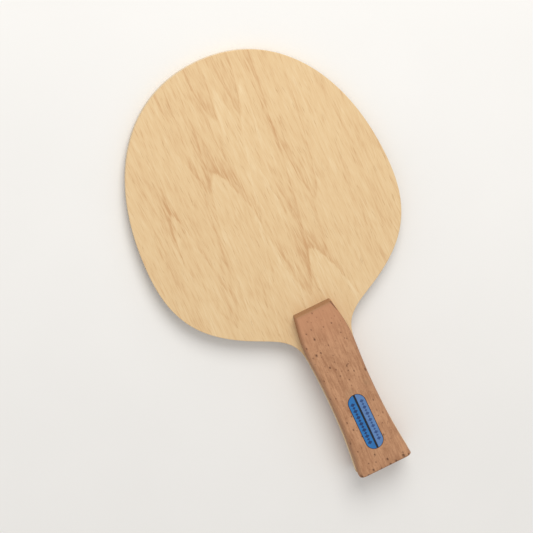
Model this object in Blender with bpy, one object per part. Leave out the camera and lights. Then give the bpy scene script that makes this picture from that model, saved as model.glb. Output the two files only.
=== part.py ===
"""Bare table tennis blade: five wooden plies, two cork handle scales and an inlaid badge.

Frame: X runs across the head, +Y along the blade from the butt to the tip, and +Z out of the
front face. The origin is the middle of the footprint, on the plane of the rear scale's flat
back, so the rear scale is the lowest piece. Everything is in metres. Pieces are listed from the
back of the paddle to the front, which is the order in which they are glued up.
"""
import bpy
import bmesh
from collections import namedtuple
from math import acos, cos, pi, radians, sin, sqrt
from mathutils import Vector
from mathutils.geometry import interpolate_bezier

# Overall sizes
BLADE_LENGTH = 0.2570
HEAD_WIDTH = 0.1500
SHOULDER_WIDTH = 0.0930
NECK_WIDTH = 0.0296
WAIST_WIDTH = 0.0278
BUTT_WIDTH = 0.0340

# How far from the butt each of those widths lies
HEAD_STATION = 0.1590
SHOULDER_STATION = 0.1050
NECK_STATION = 0.0745
WAIST_STATION = 0.0490

# Plies
FACE_VENEER = 0.0007
CROSS_PLY = 0.0008
CORE_PLY = 0.0030
GLUE_LINE = 0.00005
BLADE_BUTT_CORNER = 0.0030
RUBBER_MARGIN = 0.0010

# Handle scales
SCALE_LENGTH = 0.1036
SCALE_THICKNESS = 0.0087
SCALE_HEAD_WIDTH = 0.0230
SCALE_INSET = 0.0004
SCALE_HEAD_CORNER = 0.0006
SCALE_BUTT_CORNER = 0.0009
SCALE_HEAD_ROUND = 0.0010
SCALE_BUTT_ROUND = 0.0015
LONG_ROUND_ACROSS = 0.0030
LONG_ROUND_DOWN = 0.0045
HEAD_ROUND_SHARE = 0.4
HEAD_ROUND_LENGTH = 0.0300

# Badge, let into the front scale
BADGE_LENGTH = 0.0350
BADGE_WIDTH = 0.0106
BADGE_STATION = 0.0305
BADGE_BASE = 0.0006
BADGE_INLAY = 0.0004
BADGE_RIM = 0.0002
BADGE_STRIPE = 0.0012
BADGE_ADHESIVE = 0.0002
BADGE_ADHESIVE_MARGIN = 0.0008
BADGE_PROUD = 0.0001
POCKET_CLEARANCE = 0.0003

# How finely the curves are drawn
SPAN_STEPS = 14
CORNER_STEPS = 5
LONG_ROUND_STEPS = 5
BADGE_STEPS = 12

BUTT_Y = -BLADE_LENGTH / 2
SCALE_HEAD_Y = BUTT_Y + SCALE_LENGTH

# A knot of the blade's right-hand edge. The lean turns the edge towards the centre line, and
# before and after say how straight it runs there, as a share of the way to the next knot.
Knot = namedtuple("Knot", "half_width station lean before after")

BLADE_KNOTS = [
    Knot(0.0, BLADE_LENGTH, radians(-90), 0.0, 0.39),
    Knot(HEAD_WIDTH / 2, HEAD_STATION, 0.0, 0.45, 0.47),
    Knot(SHOULDER_WIDTH / 2, SHOULDER_STATION, radians(57), 0.33, 0.47),
    Knot(NECK_WIDTH / 2, NECK_STATION, radians(3), 0.43, 0.24),
    Knot(WAIST_WIDTH / 2, WAIST_STATION, 0.0, 0.40, 0.38),
    Knot(BUTT_WIDTH / 2, 0.0, radians(-7), 0.37, 0.0),
]
NECK_KNOT = 3
SCALE_KNOTS = [Knot(SCALE_HEAD_WIDTH / 2, SCALE_LENGTH, radians(-9), 0.0, 0.40)] + [
    knot._replace(half_width=knot.half_width - SCALE_INSET) for knot in BLADE_KNOTS[NECK_KNOT:]]


def clear_scene():
    for obj in list(bpy.data.objects):
        bpy.data.objects.remove(obj, do_unlink=True)


def new_collection(name):
    collection = bpy.data.collections.new(name)
    bpy.context.scene.collection.children.link(collection)
    return collection


def new_material(name, color, roughness, metallic=0.0):
    material = bpy.data.materials.new(name)
    material.use_nodes = True
    shader = material.node_tree.nodes["Principled BSDF"]
    shader.inputs["Base Color"].default_value = (*color, 1.0)
    shader.inputs["Roughness"].default_value = roughness
    shader.inputs["Metallic"].default_value = metallic
    material.diffuse_color = (*color, 1.0)
    return material


def edge_points(knots):
    """The right-hand edge as (half width, y) points, from the first knot to the butt."""
    points = []
    for start, end in zip(knots, knots[1:]):
        here = Vector((start.half_width, BUTT_Y + start.station, 0))
        there = Vector((end.half_width, BUTT_Y + end.station, 0))
        gap = (there - here).length
        leaving = here + Vector((-sin(start.lean), -cos(start.lean), 0)) * start.after * gap
        arriving = there - Vector((-sin(end.lean), -cos(end.lean), 0)) * end.before * gap
        span = interpolate_bezier(here, leaving, arriving, there, SPAN_STEPS + 1)
        points += [(point.x, point.y) for point in span[:-1]]
    return points + [(knots[-1].half_width, BUTT_Y + knots[-1].station)]


def width_at(points, y):
    """Half width of an edge at a height y, between the two points that lie around it."""
    for (upper_width, upper_y), (lower_width, lower_y) in zip(points, points[1:]):
        if upper_y >= y >= lower_y:
            share = (upper_y - y) / (upper_y - lower_y)
            return upper_width + (lower_width - upper_width) * share
    return points[-1][0]


def round_butt(points, corner):
    """Ends an edge in a quarter-round corner, which stops on the plane of the butt."""
    corner_y = BUTT_Y + corner
    corner_width = width_at(points, corner_y)
    kept = [point for point in points if point[1] > corner_y]
    for step in range(CORNER_STEPS + 1):
        angle = pi / 2 * step / CORNER_STEPS
        kept.append((corner_width - corner * (1 - cos(angle)), corner_y - corner * sin(angle)))
    return kept


def mirrored(right_edge):
    """Closes a right-hand edge with its mirror image, leaving out points on the centre line."""
    left_edge = [(-x, y) for x, y in reversed(right_edge) if x > 0]
    return right_edge + left_edge


def arc(centre_y, radius, start_angle, end_angle):
    """Points of an arc about (0, centre_y), with angles counted from +X towards +Y."""
    points = []
    for step in range(BADGE_STEPS + 1):
        angle = start_angle + (end_angle - start_angle) * step / BADGE_STEPS
        points.append((radius * cos(angle), centre_y + radius * sin(angle)))
    return points


def stadium(length, width):
    """A slot shape along Y with full round ends."""
    reach = (length - width) / 2
    return arc(reach, width / 2, 0, pi) + arc(-reach, width / 2, pi, 2 * pi)


def half_stadium(length, width, stripe, side):
    """The part of a slot shape that lies beyond half a stripe, on the side +1 or -1."""
    reach = (length - width) / 2
    cut_angle = acos(stripe / width)
    upper = arc(reach, width / 2, 0, cut_angle)
    lower = arc(-reach, width / 2, -cut_angle, 0)
    return [(side * x, y) for x, y in upper + lower]


def mesh_from_curve(curve_object):
    """A mesh copy of a flat curve, with its caps welded to its sides."""
    bpy.context.view_layer.update()
    evaluated = curve_object.evaluated_get(bpy.context.evaluated_depsgraph_get())
    mesh = bpy.data.meshes.new_from_object(evaluated)
    form = bmesh.new()
    form.from_mesh(mesh)
    bmesh.ops.remove_doubles(form, verts=form.verts, dist=1e-7)
    bmesh.ops.recalc_face_normals(form, faces=form.faces)
    form.to_mesh(mesh)
    form.free()
    return mesh


def flat_piece(name, outline, thickness, bottom_z, collection, centre_y=0.0):
    """A plate of an outline's shape: a 2D curve, filled and given its thickness."""
    curve = bpy.data.curves.new(name + "_outline", "CURVE")
    curve.dimensions = "2D"
    curve.fill_mode = "BOTH"
    curve.extrude = thickness / 2
    spline = curve.splines.new("POLY")
    spline.points.add(len(outline) - 1)
    for point, (x, y) in zip(spline.points, outline):
        point.co = (x, y, 0, 1)
    spline.use_cyclic_u = True
    guide = bpy.data.objects.new(name + "_outline", curve)
    guide.location = (0, centre_y, bottom_z + thickness / 2)
    collection.objects.link(guide)
    mesh = mesh_from_curve(guide)
    mesh.name = name
    piece = bpy.data.objects.new(name, mesh)
    piece.matrix_world = guide.matrix_world.copy()
    collection.objects.link(piece)
    bpy.data.objects.remove(guide, do_unlink=True)
    return piece


def give(piece, material, parent):
    piece.data.materials.clear()
    piece.data.materials.append(material)
    piece.parent = parent
    return piece


def split_at_rubber_edge(piece):
    """Adds an edge line across the piece where a rubber sheet would stop short of the handle."""
    form = bmesh.new()
    form.from_mesh(piece.data)
    everything = form.verts[:] + form.edges[:] + form.faces[:]
    line = Vector((0, SCALE_HEAD_Y + RUBBER_MARGIN, 0))
    bmesh.ops.bisect_plane(form, geom=everything, dist=1e-7, plane_co=line, plane_no=(0, 1, 0))
    form.to_mesh(piece.data)
    form.free()


def drawn_in(distance, radius):
    """How far a rounded end has come in at a distance from its end plane."""
    short = min(max(radius - distance, 0.0), radius)
    return radius - sqrt(radius ** 2 - short ** 2)


def scale_section(half_width, height, across, down):
    """A scale's section as (x, z) points: flat glue face, flat crown and elliptical long edges."""
    right = [(half_width, 0.0)]
    for step in range(LONG_ROUND_STEPS + 1):
        angle = pi / 2 * step / LONG_ROUND_STEPS
        right.append((half_width - across * (1 - cos(angle)), height - down * (1 - sin(angle))))
    return right + [(-x, z) for x, z in reversed(right)]


def scale_stations():
    """Where the sections of a scale stand, with extra ones through its rounded ends."""
    edge = edge_points(SCALE_KNOTS)
    stations = [y for _, y in edge]
    for step in range(1, CORNER_STEPS):
        share = 1 - cos(pi / 2 * step / CORNER_STEPS)
        stations.append(SCALE_HEAD_Y - SCALE_HEAD_ROUND * share)
        stations.append(BUTT_Y + SCALE_BUTT_CORNER * share)
    stations.append(SCALE_HEAD_Y - SCALE_HEAD_ROUND)
    stations.append(BUTT_Y + SCALE_BUTT_CORNER)
    return edge, sorted(stations, reverse=True)


def handle_scale(name, glue_z, facing, collection):
    """Half of the grip, lofted through its sections. Facing is +1 on the front, -1 on the rear."""
    edge, stations = scale_stations()
    form = bmesh.new()
    rings = []
    for y in stations:
        from_head = SCALE_HEAD_Y - y
        from_butt = y - BUTT_Y
        half_width = width_at(edge, y) - drawn_in(from_head, SCALE_HEAD_CORNER)
        half_width -= drawn_in(from_butt, SCALE_BUTT_CORNER)
        height = SCALE_THICKNESS - drawn_in(from_head, SCALE_HEAD_ROUND)
        height -= drawn_in(from_butt, SCALE_BUTT_ROUND)
        opened = min(from_head / HEAD_ROUND_LENGTH, 1.0)
        share = HEAD_ROUND_SHARE + (1 - HEAD_ROUND_SHARE) * opened
        section = scale_section(half_width, height, LONG_ROUND_ACROSS * share, LONG_ROUND_DOWN * share)
        rings.append([form.verts.new((x, y, glue_z + facing * z)) for x, z in section])
    for near, far in zip(rings, rings[1:]):
        for index in range(len(near)):
            following = (index + 1) % len(near)
            form.faces.new((near[index], near[following], far[following], far[index]))
    form.faces.new(rings[0])
    form.faces.new(rings[-1])
    bmesh.ops.recalc_face_normals(form, faces=form.faces)
    mesh = bpy.data.meshes.new(name)
    form.to_mesh(mesh)
    form.free()
    mesh.shade_smooth()
    mesh.set_sharp_from_angle(angle=radians(35))
    piece = bpy.data.objects.new(name, mesh)
    collection.objects.link(piece)
    return piece


def cut(piece, cutter):
    modifier = piece.modifiers.new("badge_pocket", "BOOLEAN")
    modifier.operation = "DIFFERENCE"
    modifier.solver = "EXACT"
    modifier.object = cutter
    cutter.hide_render = True
    cutter.display_type = "WIRE"


def build_plies(first_z, collection, materials, root):
    """Five plies on one outline, rear face first. Gives the height of the front face."""
    outline = mirrored(round_butt(edge_points(BLADE_KNOTS), BLADE_BUTT_CORNER))
    plies = [
        ("rear_face_veneer", FACE_VENEER, "face"),
        ("rear_cross_ply", CROSS_PLY, "cross"),
        ("core_ply", CORE_PLY, "core"),
        ("front_cross_ply", CROSS_PLY, "cross"),
        ("front_face_veneer", FACE_VENEER, "face"),
    ]
    z = first_z
    for name, thickness, wood in plies:
        piece = give(flat_piece(name, outline, thickness, z, collection), materials[wood], root)
        if wood == "face":
            split_at_rubber_edge(piece)
        z += thickness + GLUE_LINE
    return z - GLUE_LINE


def build_badge(crown_z, collection, cutters, materials, root):
    """The badge's four pieces, built down from its top. Gives the cutter of its pocket."""
    centre_y = BUTT_Y + BADGE_STATION
    inlay_z = crown_z + BADGE_PROUD - BADGE_INLAY
    base_z = inlay_z - GLUE_LINE - BADGE_BASE
    adhesive_z = base_z - GLUE_LINE - BADGE_ADHESIVE
    floor_z = adhesive_z - GLUE_LINE
    inlay_size = (BADGE_LENGTH - 2 * BADGE_RIM, BADGE_WIDTH - 2 * BADGE_RIM)
    adhesive_size = (BADGE_LENGTH - 2 * BADGE_ADHESIVE_MARGIN, BADGE_WIDTH - 2 * BADGE_ADHESIVE_MARGIN)
    pocket_size = (BADGE_LENGTH + 2 * POCKET_CLEARANCE, BADGE_WIDTH + 2 * POCKET_CLEARANCE)
    left = half_stadium(*inlay_size, BADGE_STRIPE, -1)
    right = half_stadium(*inlay_size, BADGE_STRIPE, 1)
    pieces = [
        ("badge_adhesive", stadium(*adhesive_size), BADGE_ADHESIVE, adhesive_z, "adhesive"),
        ("badge_base", stadium(BADGE_LENGTH, BADGE_WIDTH), BADGE_BASE, base_z, "base"),
        ("badge_inlay_left", left, BADGE_INLAY, inlay_z, "deep_blue"),
        ("badge_inlay_right", right, BADGE_INLAY, inlay_z, "pale_blue"),
    ]
    for name, outline, thickness, z, material in pieces:
        give(flat_piece(name, outline, thickness, z, collection, centre_y), materials[material], root)
    cutter_height = SCALE_THICKNESS
    return flat_piece("badge_pocket", stadium(*pocket_size), cutter_height, floor_z, cutters, centre_y)


def main():
    clear_scene()
    parts = new_collection("table_tennis_blade")
    cutters = new_collection("cutters")
    materials = {
        "face": new_material("limba_veneer", (0.80, 0.58, 0.32), 0.55),
        "cross": new_material("ayous_cross_ply", (0.72, 0.52, 0.30), 0.60),
        "core": new_material("kiri_core", (0.74, 0.62, 0.45), 0.65),
        "cork": new_material("cork", (0.52, 0.27, 0.14), 0.80),
        "base": new_material("badge_black", (0.01, 0.015, 0.03), 0.35),
        "deep_blue": new_material("badge_deep_blue", (0.03, 0.18, 0.48), 0.30),
        "pale_blue": new_material("badge_pale_blue", (0.09, 0.22, 0.48), 0.30),
        "adhesive": new_material("badge_adhesive_film", (0.60, 0.60, 0.55), 0.50),
    }
    root = bpy.data.objects.new("paddle", None)
    parts.objects.link(root)

    rear_glue_z = SCALE_THICKNESS
    rear_scale = handle_scale("rear_handle_scale", rear_glue_z, -1, parts)
    give(rear_scale, materials["cork"], root)
    front_face_z = build_plies(rear_glue_z + GLUE_LINE, parts, materials, root)
    front_glue_z = front_face_z + GLUE_LINE
    front_scale = handle_scale("front_handle_scale", front_glue_z, 1, parts)
    give(front_scale, materials["cork"], root)
    crown_z = front_glue_z + SCALE_THICKNESS
    cut(front_scale, build_badge(crown_z, parts, cutters, materials, root))


main()
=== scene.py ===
# %% [markdown]
# # A bare table tennis blade, lying on a pale table
#
# The object is a five-ply wooden blade before any rubber is glued on, with two flared cork
# handle scales and a small two-blue badge let into the front scale.
#
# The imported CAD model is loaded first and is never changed. Every piece below takes its place
# and its size from that model, so each one lies exactly where the CAD piece lies, and only the
# finish and the fine shape are new.

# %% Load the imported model
import math

import bmesh
import bpy
import numpy as np
from mathutils import Matrix, Vector


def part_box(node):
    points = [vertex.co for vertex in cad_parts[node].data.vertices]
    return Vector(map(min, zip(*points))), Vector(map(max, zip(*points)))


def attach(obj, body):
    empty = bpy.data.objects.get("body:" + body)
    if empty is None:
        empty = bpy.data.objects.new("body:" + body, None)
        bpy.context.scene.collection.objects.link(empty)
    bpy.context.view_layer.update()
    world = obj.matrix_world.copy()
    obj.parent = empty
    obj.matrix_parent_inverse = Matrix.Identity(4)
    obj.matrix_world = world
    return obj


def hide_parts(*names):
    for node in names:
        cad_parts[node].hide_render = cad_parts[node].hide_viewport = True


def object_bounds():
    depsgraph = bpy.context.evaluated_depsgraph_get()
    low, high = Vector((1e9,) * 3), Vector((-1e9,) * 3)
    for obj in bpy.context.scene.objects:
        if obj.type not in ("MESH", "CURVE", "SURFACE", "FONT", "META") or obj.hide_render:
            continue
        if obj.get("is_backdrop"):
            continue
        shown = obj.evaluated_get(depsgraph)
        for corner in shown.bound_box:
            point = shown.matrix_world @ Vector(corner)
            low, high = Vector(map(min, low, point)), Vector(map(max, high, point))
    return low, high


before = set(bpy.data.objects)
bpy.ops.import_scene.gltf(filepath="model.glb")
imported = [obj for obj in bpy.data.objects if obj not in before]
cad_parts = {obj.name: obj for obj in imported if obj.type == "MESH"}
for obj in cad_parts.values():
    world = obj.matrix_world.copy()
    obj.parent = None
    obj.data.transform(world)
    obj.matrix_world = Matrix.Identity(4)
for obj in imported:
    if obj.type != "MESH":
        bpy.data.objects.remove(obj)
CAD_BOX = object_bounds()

MM = 0.001


def add(name, data):
    """A new object in the scene, at the origin."""
    thing = bpy.data.objects.new(name, data)
    bpy.context.scene.collection.objects.link(thing)
    return thing


for name in sorted(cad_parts):
    low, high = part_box(name)
    print(f"{name}: {[round(value / MM, 2) for value in (*low, *high)]} mm")

# %% [markdown]
# ## The camera
#
# A camera can be aimed with a Track To constraint, but then its turn about its own axis is
# awkward to set. Here the camera's three axes are worked out as vectors: the way it looks, the
# blade's own down direction seen from there, and a roll about the line of sight. A long lens from
# a metre away keeps the near and far ends of the blade almost the same scale.

# %% Place the camera
LENS = 121.6
SENSOR = 36.0
CAMERA_AIM = Vector((-13.1, 7.5, 14.95)) * MM
CAMERA_SIDE = Vector((-0.054, 0.222, 1.0)).normalized()
CAMERA_DISTANCE = 1.0175
CAMERA_ROLL = math.radians(25.25)

view_down = Vector((0.0, -1.0, 0.0))
view_down = (view_down - CAMERA_SIDE * view_down.dot(CAMERA_SIDE)).normalized()
view_right = view_down.cross(-CAMERA_SIDE)
picture_right = view_right * math.cos(CAMERA_ROLL) + view_down * math.sin(CAMERA_ROLL)
picture_down = view_down * math.cos(CAMERA_ROLL) - view_right * math.sin(CAMERA_ROLL)
turn = Matrix((picture_right, -picture_down, CAMERA_SIDE)).transposed()

camera = add("camera", bpy.data.cameras.new("camera"))
camera.data.lens = LENS
camera.data.sensor_width = SENSOR
camera.data.clip_start = 0.01
camera.data.clip_end = 20.0
camera.matrix_world = Matrix.Translation(CAMERA_AIM + CAMERA_SIDE * CAMERA_DISTANCE) @ turn.to_4x4()
bpy.context.scene.camera = camera
print("camera at", [round(value, 3) for value in camera.matrix_world.translation])

# %% [markdown]
# ## A short way to write node trees
#
# A finish is a tree of nodes, and writing each link by hand hides the idea behind it. One small
# class wraps a socket, so sums are written as Python sums and each adds its Math node. A second
# class makes any other node from its type, its settings and its inputs. Both serve the shader
# trees and the Geometry Nodes trees, because Math, Mix and Noise are the same nodes in each.


# %% A socket that takes part in sums
class Wire:
    """One output socket of a node, ready to be used in a Python expression."""

    def __init__(self, tree, socket):
        self.tree = tree
        self.socket = socket

    def out(self, name):
        """Another output of the same node."""
        return Wire(self.tree, self.socket.node.outputs[name])

    def maths(self, operation, first, second=0.0):
        return self.tree.node("ShaderNodeMath", {"operation": operation}, {0: first, 1: second})

    def __add__(self, other):
        return self.maths("ADD", self, other)

    def __radd__(self, other):
        return self.maths("ADD", other, self)

    def __sub__(self, other):
        return self.maths("SUBTRACT", self, other)

    def __rsub__(self, other):
        return self.maths("SUBTRACT", other, self)

    def __mul__(self, other):
        return self.maths("MULTIPLY", self, other)

    def __rmul__(self, other):
        return self.maths("MULTIPLY", other, self)

    def __truediv__(self, other):
        return self.maths("DIVIDE", self, other)

    def __rtruediv__(self, other):
        return self.maths("DIVIDE", other, self)

    def __abs__(self):
        return self.maths("ABSOLUTE", self)

    def above(self, other):
        """1 where this is greater than the other, else 0."""
        return self.maths("GREATER_THAN", self, other)

    def least(self, other):
        return self.maths("MINIMUM", self, other)

    def most(self, other):
        return self.maths("MAXIMUM", self, other)

    def exp(self):
        return self.maths("EXPONENT", self)


print("sums on sockets ready")


# %% A tree that makes its nodes in one way
class Tree:
    """A node tree with one method for every node."""

    def __init__(self, tree):
        self.tree = tree

    def node(self, kind, settings=None, inputs=None, out=0):
        made = self.tree.nodes.new(kind)
        for name, value in (settings or {}).items():
            setattr(made, name, value)
        for key, value in (inputs or {}).items():
            if isinstance(value, Wire):
                self.tree.links.new(value.socket, made.inputs[key])
            else:
                made.inputs[key].default_value = value
        return Wire(self, made.outputs[out])

    def step(self, value, start, end):
        """A soft step from 0 at start to 1 at end. Start may be the greater."""
        if start > end:
            return 1 - self.step(value, end, start)
        settings = {"interpolation_type": "SMOOTHSTEP"}
        return self.node("ShaderNodeMapRange", settings, {0: value, 1: start, 2: end})

    def vector_maths(self, operation, inputs, out=0):
        return self.node("ShaderNodeVectorMath", {"operation": operation}, inputs, out)

    def squeeze(self, vector, shares):
        return self.vector_maths("MULTIPLY", {0: vector, 1: shares})

    def scaled(self, vector, amount):
        return self.vector_maths("SCALE", {0: vector, "Scale": amount})

    def move(self, vector, offset):
        return self.vector_maths("ADD", {0: vector, 1: offset})

    def xyz(self, x=0.0, y=0.0, z=0.0):
        """A vector from its three parts."""
        return self.node("ShaderNodeCombineXYZ", None, {0: x, 1: y, 2: z})

    def parts(self, vector):
        return self.node("ShaderNodeSeparateXYZ", None, {0: vector})

    def noise(self, vector, sizes, detail=2.0, roughness=0.5):
        """Soft noise about 0, within -1 and 1, whose clouds measure these sizes."""
        vector = self.squeeze(vector, tuple(1.0 / size for size in sizes))
        inputs = {"Vector": vector, "Scale": 1.0, "Detail": detail, "Roughness": roughness}
        return self.node("ShaderNodeTexNoise", None, inputs) * 2.0 - 1.0

    def cells(self, vector, sizes):
        """Distance to the nearest scattered point; its Color output is that point's own draw."""
        vector = self.squeeze(vector, tuple(1.0 / size for size in sizes))
        return self.node("ShaderNodeTexVoronoi", None, {"Vector": vector, "Scale": 1.0})


print("tree helpers ready")

# %% [markdown]
# ## What every finish shares
#
# Each finish is one Principled shader. Its patterns read Object coordinates, because every
# finished piece stays at the origin, so a grain runs on unbroken through a whole ply and round
# its edge. The coordinates are turned into millimetres at once, so every size in a pattern is a
# size that could be measured on the piece.


# %% A finish
def paint(red, green, blue):
    """A colour as a paint chart gives it, 0 to 255, in the linear values that shaders use."""
    shares = [value / 255.0 for value in (red, green, blue)]
    linear = [v / 12.92 if v <= 0.04045 else ((v + 0.055) / 1.055) ** 2.4 for v in shares]
    return (*linear, 1.0)


class Finish(Tree):
    """A material with one Principled shader and Object coordinates in millimetres."""

    def __init__(self, name, constants):
        self.material = bpy.data.materials.new(name)
        self.material.use_nodes = True
        super().__init__(self.material.node_tree)
        self.tree.nodes.clear()
        self.shader = self.node("ShaderNodeBsdfPrincipled", None, constants)
        output = self.tree.nodes.new("ShaderNodeOutputMaterial")
        self.tree.links.new(self.shader.socket, output.inputs["Surface"])
        self.place = self.scaled(self.node("ShaderNodeTexCoord", out="Object"), 1 / MM)

    def blend(self, share, first, second, way="MIX"):
        settings = {"data_type": "RGBA", "blend_type": way}
        return self.node("ShaderNodeMix", settings, {0: share, 6: first, 7: second}, out=2)

    def feed(self, **sockets):
        for name, value in sockets.items():
            target = self.shader.socket.node.inputs[name.replace("_", " ")]
            self.tree.links.new(value.socket, target)

    def relief(self, height, depth, strength=1.0):
        """Feeds a height in millimetres to the shader's Normal through one Bump node."""
        inputs = {"Strength": strength, "Distance": depth * MM, "Height": height}
        self.feed(Normal=self.node("ShaderNodeBump", None, inputs))


print("white paint in linear values:", paint(255, 255, 255))

# %% [markdown]
# ## The face veneer's finish
#
# The faces are a pale, straight-grained veneer. Three things make it read as wood. The first is
# the figure: where the knife crosses a growth ring, the ring shows as a tall arch, with a warm
# dark band outside its edge and paler wood inside. The second is faint stripes along the grain.
# The third is the open pores, thin dark dashes a few millimetres long.
#
# A plain noise texture gives stripes, but never such arches. So each arch is written as a
# parabola: inside it a value rises from its edge downwards, outside it falls away. Two fading
# curves on that value give the pale and the dark side, and a stretched noise frays the edge.

# %% The arches and streaks of the front and rear faces
# Each arch: across, apex, way it points (1 to the tip, -1 to the butt), spread, lean, weight
# inside, weight outside, reach inside, reach outside. A weight above 0 is pale, below 0 dark.
# Each streak: across, start, end, half width, weight. Places and reaches are in millimetres.
FRONT_ARCHES = (
    (-17.0, 68.0, 1, 3.4, 0.00, 0.55, -1.30, 20.0, 9.5),
    (-49.5, 57.0, 1, 1.1, 0.05, 0.50, -1.35, 14.0, 7.5),
    (13.5, 5.0, 1, 2.6, 0.16, 0.65, -1.20, 20.0, 9.5),
    (2.0, 110.0, 1, 0.9, -0.02, 0.70, -0.30, 16.0, 6.0),
    (17.5, 110.0, 1, 0.6, -0.22, 0.75, -0.30, 14.0, 5.0),
    (-3.5, 94.0, -1, 0.8, -0.04, -0.90, 0.30, 15.0, 3.0),
    (10.5, 91.0, -1, 0.6, 0.05, -0.95, 0.30, 16.0, 3.0),
    (29.0, 31.0, -1, 1.5, 0.05, -0.95, 0.30, 9.0, 4.0),
    (3.0, -18.0, -1, 2.6, 0.05, -0.75, 0.30, 18.0, 4.0),
    (-24.0, 60.0, -1, 1.4, -0.02, -0.75, 0.15, 7.0, 3.0),
    (-53.0, 43.0, -1, 0.9, 0.02, -0.75, 0.15, 9.0, 3.0),
    (-42.5, -16.0, -1, 2.8, 0.00, -0.75, 0.10, 6.0, 3.0),
    (20.0, -1.0, -1, 1.6, 0.00, -0.60, 0.15, 5.0, 3.0),
)
FRONT_STREAKS = (
    (-28.0, 84.0, 140.0, 1.0, -0.80), (-53.0, 92.0, 122.0, 1.4, -0.50), (36.0, 44.0, 130.0, 1.1, -0.65),
    (59.5, 6.0, 105.0, 1.7, -0.60), (-47.0, -14.0, 52.0, 0.9, -0.60), (-8.5, 8.0, 70.0, 1.0, -0.55),
    (22.0, 66.0, 82.0, 1.0, -0.60), (28.0, -4.0, 32.0, 1.0, -0.50), (-33.0, 58.0, 112.0, 3.2, 0.45),
    (45.0, 26.0, 114.0, 6.5, 0.35), (-5.0, -30.0, 2.0, 2.6, 0.50), (-63.0, -5.0, 70.0, 2.0, -0.35),
    (50.0, -20.0, 40.0, 1.6, -0.35), (8.0, 30.0, 80.0, 2.4, 0.25), (-38.0, -30.0, 10.0, 2.2, -0.35),
)
REAR_ARCHES = (
    (9.0, 84.0, 1, 3.0, 0.03, 0.75, -1.10, 26.0, 8.0),
    (-38.0, 40.0, 1, 1.4, -0.05, 0.60, -1.00, 16.0, 6.0),
    (44.0, 22.0, 1, 1.8, 0.08, 0.65, -0.95, 20.0, 7.0),
    (-8.0, 10.0, 1, 2.6, 0.05, 0.75, -0.90, 24.0, 7.0),
    (-20.0, 84.0, -1, 0.9, 0.05, -0.85, 0.30, 15.0, 3.0),
    (28.0, 62.0, -1, 1.2, -0.04, -0.85, 0.30, 12.0, 4.0),
    (16.0, -15.0, -1, 1.9, 0.02, -0.75, 0.20, 14.0, 4.0),
    (-56.0, 12.0, -1, 1.0, 0.04, -0.70, 0.10, 12.0, 3.0),
)
REAR_STREAKS = (
    (-31.0, 50.0, 128.0, 1.1, -0.70), (24.0, 20.0, 118.0, 1.3, -0.60), (56.0, -12.0, 90.0, 1.6, -0.55),
    (-60.0, 0.0, 80.0, 1.5, -0.45), (-14.0, -30.0, 60.0, 1.0, -0.50), (38.0, 40.0, 120.0, 4.0, 0.40),
    (-46.0, 60.0, 110.0, 4.5, 0.40), (2.0, -28.0, 20.0, 2.4, 0.40),
)
print(len(FRONT_ARCHES), "front arches,", len(REAR_ARCHES), "rear arches")

# %% How one arch or streak tints the wood
EDGE_FRAY = 2.2
SIDE_FADE = 28.0
STREAK_END = 12.0


def arch_tint(finish, across, along, arch):
    """The tint of one arch, negative where it is dark and positive where it is pale."""
    centre, apex, way, spread, lean, inner, outer, reach_in, reach_out = arch
    depth = (apex - along) * way
    aside = across - centre - depth * lean
    edge = depth - aside * aside / spread
    inside = (edge.most(0.0) / -reach_in).exp() * inner
    outside = (edge.least(0.0) / reach_out - depth.most(0.0) / SIDE_FADE).exp() * outer
    share = finish.step(edge, -EDGE_FRAY, EDGE_FRAY)
    return outside + (inside - outside) * share


def streak_tint(finish, across, along, streak):
    """The tint of one narrow band along the grain, faded at both ends."""
    centre, start, end, half_width, weight = streak
    aside = (across - centre) / half_width
    ends = finish.step(along, start - STREAK_END, start) * finish.step(along, end + STREAK_END, end)
    return (aside * aside * -1.0).exp() * ends * weight


print("an arch's edge is frayed over", 2 * EDGE_FRAY, "mm")


# %% Pores as scattered dashes
DASH_CORE = 0.35


def dashes(finish, vector, width, length, fill, kept):
    """Thin dashes along the grain. Fill is a dash's half width in cells, kept the share drawn."""
    near = finish.cells(vector, (width, length, width))
    draw = finish.node("ShaderNodeSeparateColor", None, {0: near.out("Color")})
    drawn = finish.step(draw, 1.0 - kept, 1.0 - kept + 0.15)
    weight = draw.out("Green") * 0.6 + 0.4
    return finish.step(near, fill, fill * DASH_CORE) * drawn * weight


print("a dash is at its darkest over", DASH_CORE, "of its width")

# %% The veneer finish
VENEER_PALE = paint(232, 207, 165)
VENEER_MID = paint(223, 192, 146)
VENEER_WARM = paint(202, 160, 114)
PORE_BROWN = paint(172, 128, 84)


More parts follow.
